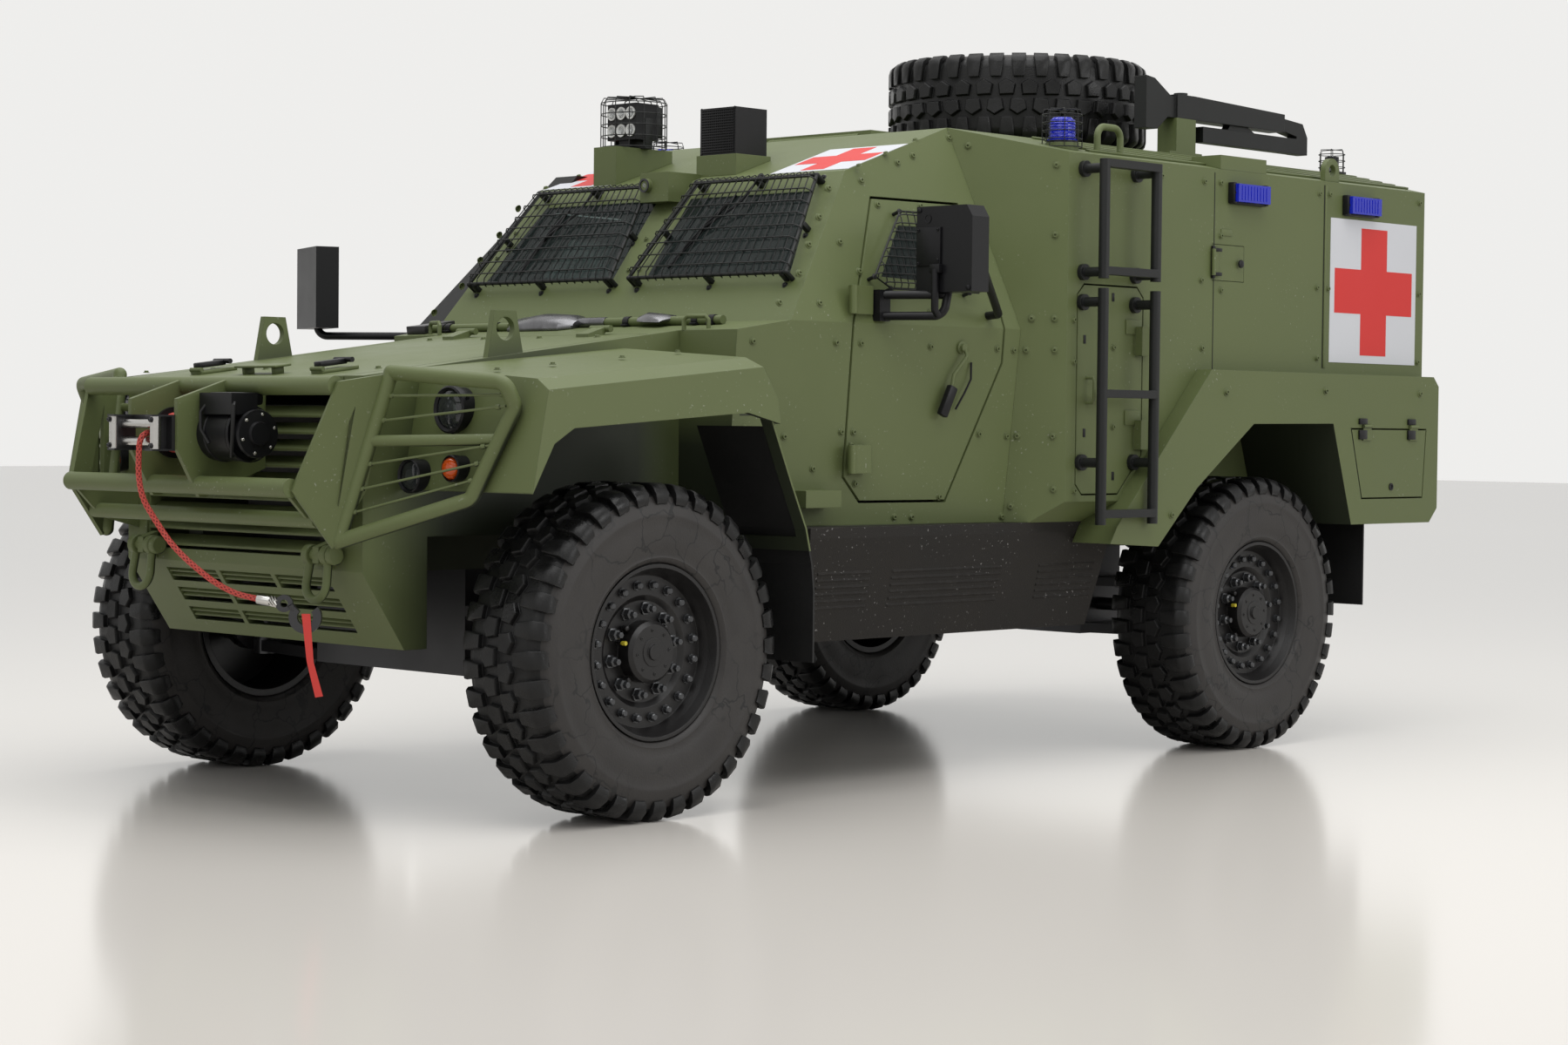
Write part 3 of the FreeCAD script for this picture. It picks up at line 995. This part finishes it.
left_head = mirror_head("left_head", "mirror_in_x", "mirror_out_x", "-375", "-285",
                        "mirror_low_z", "mirror_low_z + 300")
left_arms = [
    cut("mirror_bracket", box("mirror_block", ("930", "-470", "mirror_low_z - 100"),
                              ("1006", "-415", "mirror_low_z + 10")), cab_outer),
    tube("mirror_lower_arm", (("1000", "-440", "mirror_low_z - 82"),
                              ("1200", "-352", "mirror_low_z - 82"),
                              ("1200", "-330", "mirror_low_z + 4")), "40", "15"),
    tube("mirror_upper_arm", (("1000", "-440", "mirror_low_z - 8"),
                              ("1100", "-387", "mirror_low_z - 8"),
                              ("1196", "-334", "mirror_low_z - 8")), "40", "15"),
    cut("mirror_strut", tube("mirror_strut_rod", (
        ("1310", "-300", "mirror_low_z + 130"), ("1085", "85", "mirror_low_z - 60"),
        ("980", "112", "mirror_low_z - 66")), "20", "15"), cab_outer)]
node("mirror_left", fuse("mirror_left", left_head, *left_arms))
right_head = prism("right_head", "plan", (
    ("-1399", "-1185"), ("-1367", "-1101"), ("-1125", "-1194"), ("-1157", "-1278")),
    "mirror_low_z - 115", "mirror_low_z + 195")
right_arm = cut("right_arm", tube("right_arm_rod", (
    ("-1262", "-1190", "mirror_low_z - 112"), ("-1262", "-1190", "shoulder_z - 35"),
    ("-900", "-965", "shoulder_z - 35")), "40", "15"), cab_outer)
node("mirror_right", fuse("mirror_right", right_head, right_arm))

COWL_SLOPE = "((shoulder_z - {z}) / (screen_foot_y - cowl_front_y))".format(z=COWL_Z)


def cowl_z(y):
    return f"({COWL_Z} + {COWL_SLOPE} * (({y}) - cowl_front_y))"


tools = []
for name, y, x1, x2, r in (("shovel", "cowl_front_y + 150", "-60", "700", "16"),
                           ("axe", "cowl_front_y + 85", "-800", "-345", "15")):
    tools.append(rod(name + "_handle", (x1, y, f"{cowl_z(y)} + {r} * 1.02"), "x", r, f"({x2}) - ({x1})"))
blade = prism("shovel_blade", "side", (
    ("cowl_front_y + 60", f"{cowl_z('cowl_front_y + 60')} + 2"),
    ("cowl_front_y + 60", f"{cowl_z('cowl_front_y + 60')} + 12"),
    ("screen_foot_y - 15", f"{cowl_z('screen_foot_y - 15')} + 12"),
    ("screen_foot_y - 15", f"{cowl_z('screen_foot_y - 15')} + 2")), "-330", "-60")
axe_head = prism("axe_head", "side", (
    ("cowl_front_y + 40", f"{cowl_z('cowl_front_y + 40')} + 1"),
    ("cowl_front_y + 40", f"{cowl_z('cowl_front_y + 40')} + 30"),
    ("cowl_front_y + 200", f"{cowl_z('cowl_front_y + 200')} + 30"),
    ("cowl_front_y + 200", f"{cowl_z('cowl_front_y + 200')} + 1")), "-860", "-800")
node("pioneer_tools", group(
    "pioneer_tools", fuse("shovel", tools[0], blade), fuse("axe", tools[1], axe_head)))

# ---- ladders ---------------------------------------------------------------------------------


def ladder(name, low, high, rungs, mounts):
    parts = []
    for i, y in enumerate(("ladder_front_y", "ladder_rear_y")):
        parts.append(rod(f"{name}_rail_{i}", ("ladder_x", y, low), "z", "rail_radius", f"({high}) - ({low})"))
        parts += [rod(f"{name}_mount_{i}_{k}", ("body_half", y, z), "x", "18", "ladder_x - body_half")
                  for k, z in enumerate(mounts)]
        parts += [rod(f"{name}_boss_{i}_{k}", ("body_half", y, z), "x", "30", "18")
                  for k, z in enumerate(mounts)]
    parts += [box(f"{name}_rung_{k}", ("ladder_x - 20", "ladder_front_y", f"({z}) - 15"),
                  ("ladder_x + 20", "ladder_rear_y", f"({z}) + 15")) for k, z in enumerate(rungs)]
    return node(name, fuse(name, *parts))


ladder("upper_ladder", "hatch_high_z + 15", "eave_z - 25", ("eave_z - 40", "hatch_high_z + 44"),
       ("eave_z - 58", "hatch_high_z + 40"))
ladder("lower_ladder", "hatch_low_z - 106", "hatch_high_z - 20", ("1394", "hatch_low_z - 66"),
       ("hatch_high_z - 70", "hatch_low_z + 122"))

# ---- roof ------------------------------------------------------------------------------------

ROOF_LEAN = "((ridge_z - screen_top_z) / (ridge_y - screen_top_y))"
lamp_stand = cut("lamp_stand", box("lamp_stand_block", ("-525", "-430", "screen_top_z - 60"),
                                   ("-400", "-130", "screen_top_z + 158")), cab_outer)
siren_stand = cut("siren_stand", box("siren_stand_block", ("10", "-399", "screen_top_z - 60"),
                                     ("218", "-215", "screen_top_z + 98")), cab_outer)
camera_box = cut("camera_box", fuse("camera_block", box(
    "camera_body", ("-110", "-575", "screen_top_z - 82"), ("40", "-380", "screen_top_z + 28")), rod(
        "camera_lens", ("-70", "-592", "screen_top_z - 20"), "y", "26", "20")), cab_outer)
aerial_box = cut("aerial_box", box("aerial_block", ("1050", "1293", "eave_z - 60"),
                                   ("body_half", "1600", "ridge_z - 34")), box_outer)
beacon_stand = cut("beacon_stand", rod("beacon_post", ("1060", "470", "eave_z - 60"), "z", "62", "106"),
                   box_outer)
crane_post = fuse(
    "crane_post", box("crane_foot", ("crane_x - 110", "crane_y - 110", "ridge_z"),
                      ("crane_x + 30", "crane_y + 110", "ridge_z + 18")),
    box("crane_column", ("crane_x - 65", "crane_y - 65", "ridge_z"),
        ("crane_x + 30", "crane_y + 65", "crane_post_z")))
rear_eye = cut("rear_eye", fuse("rear_eye_plate", box(
    "rear_eye_root", ("rear_eye_x", "rear_eye_y - 50", "eave_z - 60"),
    ("rear_eye_x + 24", "rear_eye_y + 50", "rear_eye_z")), rod(
        "rear_eye_ring", ("rear_eye_x", "rear_eye_y", "rear_eye_z"), "x", "50", "24")), rod(
            "rear_eye_hole", ("rear_eye_x - 1", "rear_eye_y", "rear_eye_z"), "x", "24", "26"), box_outer)
grab = cut("grab", tube("grab_rod", (("1100", "630", "eave_z - 20"), ("1100", "630", "ridge_z + 30"),
                                     ("1100", "770", "ridge_z + 30"), ("1100", "770", "eave_z - 20")),
                        "40", "13"), box_outer)
spare_beams = both("spare_beams", box("spare_beam", ("250", "spare_y - 470", "ridge_z"),
                                      ("330", "spare_y + 470", "spare_low_z - 2 - seam")))
spare_post = rod("spare_post", ("0", "spare_y", "ridge_z"), "z", "stub_radius + 30",
                 "spare_low_z + tyre_width / 2 - 20 - seam - ridge_z")
node("roof_fittings", group("roof_fittings", lamp_stand, siren_stand, camera_box, aerial_box,
                            beacon_stand, crane_post, rear_eye, mirror(rear_eye), grab,
                            spare_beams, spare_post))

work_lamp = fuse(
    "work_lamp", box("lamp_foot", ("-490", "-330", "screen_top_z + 158"),
                     ("-430", "-230", "screen_top_z + 190")),
    box("lamp_body", ("-540", "-345", "screen_top_z + 190"), ("-380", "-225", "screen_top_z + 330")))
siren = box("siren", ("20", "-390", "screen_top_z + 98"), ("206", "-225", "screen_top_z + 273"))
rear_lamp_stalk = fuse(
    "rear_lamp_stalk", box("stalk_foot", ("stalk_x - 40", "box_rear_y - 167", "ridge_z"),
                           ("stalk_x + 40", "box_rear_y - 67", "ridge_z + 12")),
    rod("stalk_lamp", ("stalk_x", "box_rear_y - 117", "ridge_z"), "z", "30", "75"))
node("roof_electrics", group("roof_electrics", work_lamp, siren, rear_lamp_stalk))

blue = [box(f"blue_{i}", ("body_half", y, "2154"), ("body_half + 45", f"{y} + blue_length", "2224"))
        for i, y in enumerate(("1353", "2152"))]
blue_pair = group("blue_pair", *blue)
node("blue_lamps", group("blue_lamps", blue_pair, mirror(blue_pair), rod(
    "beacon", ("1060", "470", "eave_z + 46"), "z", "48", "85")))

boom = fuse(
    "boom", prism("boom_head", "side", (
        ("crane_y - 255", "crane_post_z - 53"), ("crane_y - 255", "crane_post_z + 155"),
        ("crane_y - 200", "crane_post_z + 148"), ("crane_y - 90", "crane_post_z + 85"),
        ("crane_y - 50", "crane_post_z + 85"), ("crane_y - 50", "crane_post_z + seam"),
        ("crane_y - 112", "crane_post_z + seam"), ("crane_y - 180", "crane_post_z - 53")),
        "crane_x - 40", "crane_x + 20"),
    rod("boom_pivot", ("crane_x", "crane_y", "crane_post_z + seam"), "z", "28", "104"),
    prism("boom_upper", "side", (
        ("crane_y - 60", "crane_post_z + seam"), ("crane_y - 60", "crane_post_z + 95"),
        ("crane_y + 60", "crane_post_z + 95"), ("crane_y + 695", "crane_post_z + 74"),
        ("crane_y + 695", "crane_post_z + seam")), "crane_x - 50", "crane_x + 30"),
    prism("boom_tip", "side", (
        ("crane_y + 680", "crane_post_z + 60"), ("crane_y + 843", "crane_post_z + 46"),
        ("crane_y + 879", "crane_post_z - 10"), ("crane_y + 879", "crane_post_z - 84"),
        ("crane_y + 800", "crane_post_z - 84"), ("crane_y + 800", "crane_post_z - 10"),
        ("crane_y + 680", "crane_post_z + 10")), "crane_x - 30", "crane_x + 20"),
    box("boom_lower", ("crane_x - 25", "crane_y + 130", "crane_post_z - 84"),
        ("crane_x + 20", "crane_y + 810", "crane_post_z - 20")),
    prism("boom_strut", "side", (
        ("crane_y + 330", "crane_post_z + 10"), ("crane_y + 430", "crane_post_z + 10"),
        ("crane_y + 520", "crane_post_z - 30"), ("crane_y + 300", "crane_post_z - 30")),
        "crane_x - 20", "crane_x + 15"))
node("crane_boom", boom)

# ---- skirts, flaps, steps, lamps at the rear ---------------------------------------------------

skirt = cut("skirt", prism("skirt_sheet", "front", (
    ("skirt_low_x - 30", "skirt_top_z"), ("skirt_top_x", "skirt_top_z"),
    ("skirt_top_x", "skirt_top_z - 37"), ("skirt_low_x", "skirt_low_z"),
    ("skirt_low_x - 15", "skirt_low_z"), ("skirt_top_x - 18", "skirt_top_z - 37"),
    ("skirt_top_x - 18", "skirt_top_z - 14"), ("skirt_low_x - 30", "skirt_top_z - 14")),
    "skirt_front_y", "skirt_rear_y"), prism("skirt_corner", "side", (
        ("skirt_rear_y + 1", "skirt_top_z + 1"), ("skirt_rear_y + 1", "skirt_low_z - 1"),
        ("skirt_rear_y - 60", "skirt_low_z - 1")), "belly_half", "body_half"))
# pressed ribs: first and last Y of a field of ribs
RIB_FIELDS = (("skirt_front_y + 65", "skirt_front_y + 335"), ("skirt_front_y + 450", "skirt_front_y + 1045"),
              ("skirt_front_y + 1265", "skirt_rear_y - 75"))
SKIRT_LEAN = "((skirt_top_x - skirt_low_x) / (skirt_top_z - 37 - skirt_low_z))"


def skirt_x(z):
    return f"(skirt_low_x + {SKIRT_LEAN} * (({z}) - skirt_low_z))"


ribs = []
for row in range(int(number("rib_rows"))):
    low = f"(rib_low_z + {row} * rib_pitch)"
    middle, high = f"({low} + rib_height / 2)", f"({low} + rib_height)"
    for field, (start, end) in enumerate(RIB_FIELDS):
        ribs.append(prism(f"rib_{row}_{field}", "front", (
            (f"{skirt_x(low)} - 5", low), (skirt_x(low), low),
            (f"{skirt_x(middle)} + rib_height / 3", middle),
            (skirt_x(high), high), (f"{skirt_x(high)} - 5", high)), start, end))
node("side_skirts", both("side_skirts", fuse("ribbed_skirt", skirt, *ribs)))

front_flap = sheet_on("front_flap", FLAP_FACE, "0", "flap_sheet", "cowl_low_half + 12", "fender_half - 20")
rear_flap = box("rear_flap", ("860", "pod_front_y + 203", "skirt_low_z + 26"),
                ("1200", "pod_front_y + 211", "pod_low_z"))
node("mud_flaps", both("mud_flaps", group("flap_pair", front_flap, rear_flap)))

step = cut("step", box("step_block", ("cowl_low_half - 30", "-830", "door_low_z - 12"),
                       ("1000", "-650", "door_low_z + 48")), cab_outer)
node("cab_steps", both("cab_steps", step))

seat = fuse(
    "seat", prism("seat_shell", "side", (
        ("-300", "1300"), ("-320", "1400"), ("120", "1370"), ("230", "1990"), ("320", "1970"),
        ("220", "1290")), "250", "700"),
    box("seat_frame", ("300", "-200", "sill_z + wall"), ("650", "150", "1301")))
WHEEL_AT = ("475", "screen_foot_y + 330", "shoulder_z - 110")
WHEEL_RUN = V(0, 0.84, 0.54)
HUB_AT = point(WHEEL_AT) - WHEEL_RUN * 13
node("cab_interior", group("cab_interior", both("seats", seat), fuse(
    "dashboard", prism("dash", "side", (
        ("cowl_front_y + wall", "sill_z + 330"), ("cowl_front_y + wall", "shoulder_z - 100"),
        ("screen_foot_y + 40", "shoulder_z - 80"), ("screen_foot_y + 130", "shoulder_z - 180"),
        ("screen_foot_y + 90", "sill_z + 330")), "-800", "800"),
    stick("column", ("475", "screen_foot_y + 90", "shoulder_z - 200"), WHEEL_AT, "22"),
    made("steering_wheel", Part.makeCylinder(number("steer_ring"), 26, HUB_AT, WHEEL_RUN).cut(
        Part.makeCylinder(number("steer_ring - steer_grip"), 26, HUB_AT, WHEEL_RUN))),
    made("steering_hub", Part.makeCylinder(45, 26, HUB_AT, WHEEL_RUN)),
    stick("steering_spoke", (f"{WHEEL_AT[0]} + 15 - steer_ring", *WHEEL_AT[1:]),
          (f"{WHEEL_AT[0]} - 15 + steer_ring", *WHEEL_AT[1:]), "9"))))

node("rear_step", prism("rear_step", "side", (
    ("box_rear_y", "sill_z - rail_height"), ("box_rear_y", "sill_z - 10"),
    ("rear_step_y", "sill_z - 60"), ("rear_step_y", "sill_z - rail_height")),
    "-rear_door_half", "rear_door_half"))
rear_lamp = group("rear_lamp", *(
    rod(f"tail_{i}", ("fender_half - 80", "rear_fender_end_y", z), "y", "42", "22")
    for i, z in enumerate(("1090", "1200"))))
node("rear_lamps", both("rear_lamps", rear_lamp))

# ---- build and write -------------------------------------------------------------------------

doc.recompute()
for obj in doc.Objects:
    if "Invalid" in obj.State or "Error" in obj.State:
        raise RuntimeError(f"{obj.Name} failed: {obj.State}")
os.makedirs("parts", exist_ok=True)
for name, obj in nodes.items():
    shape = obj.Shape
    if shape.isNull() or not shape.isValid() or not shape.Solids:
        raise RuntimeError(f"{name} has no valid shape")
    shape.exportStep(f"parts/{name}.step")
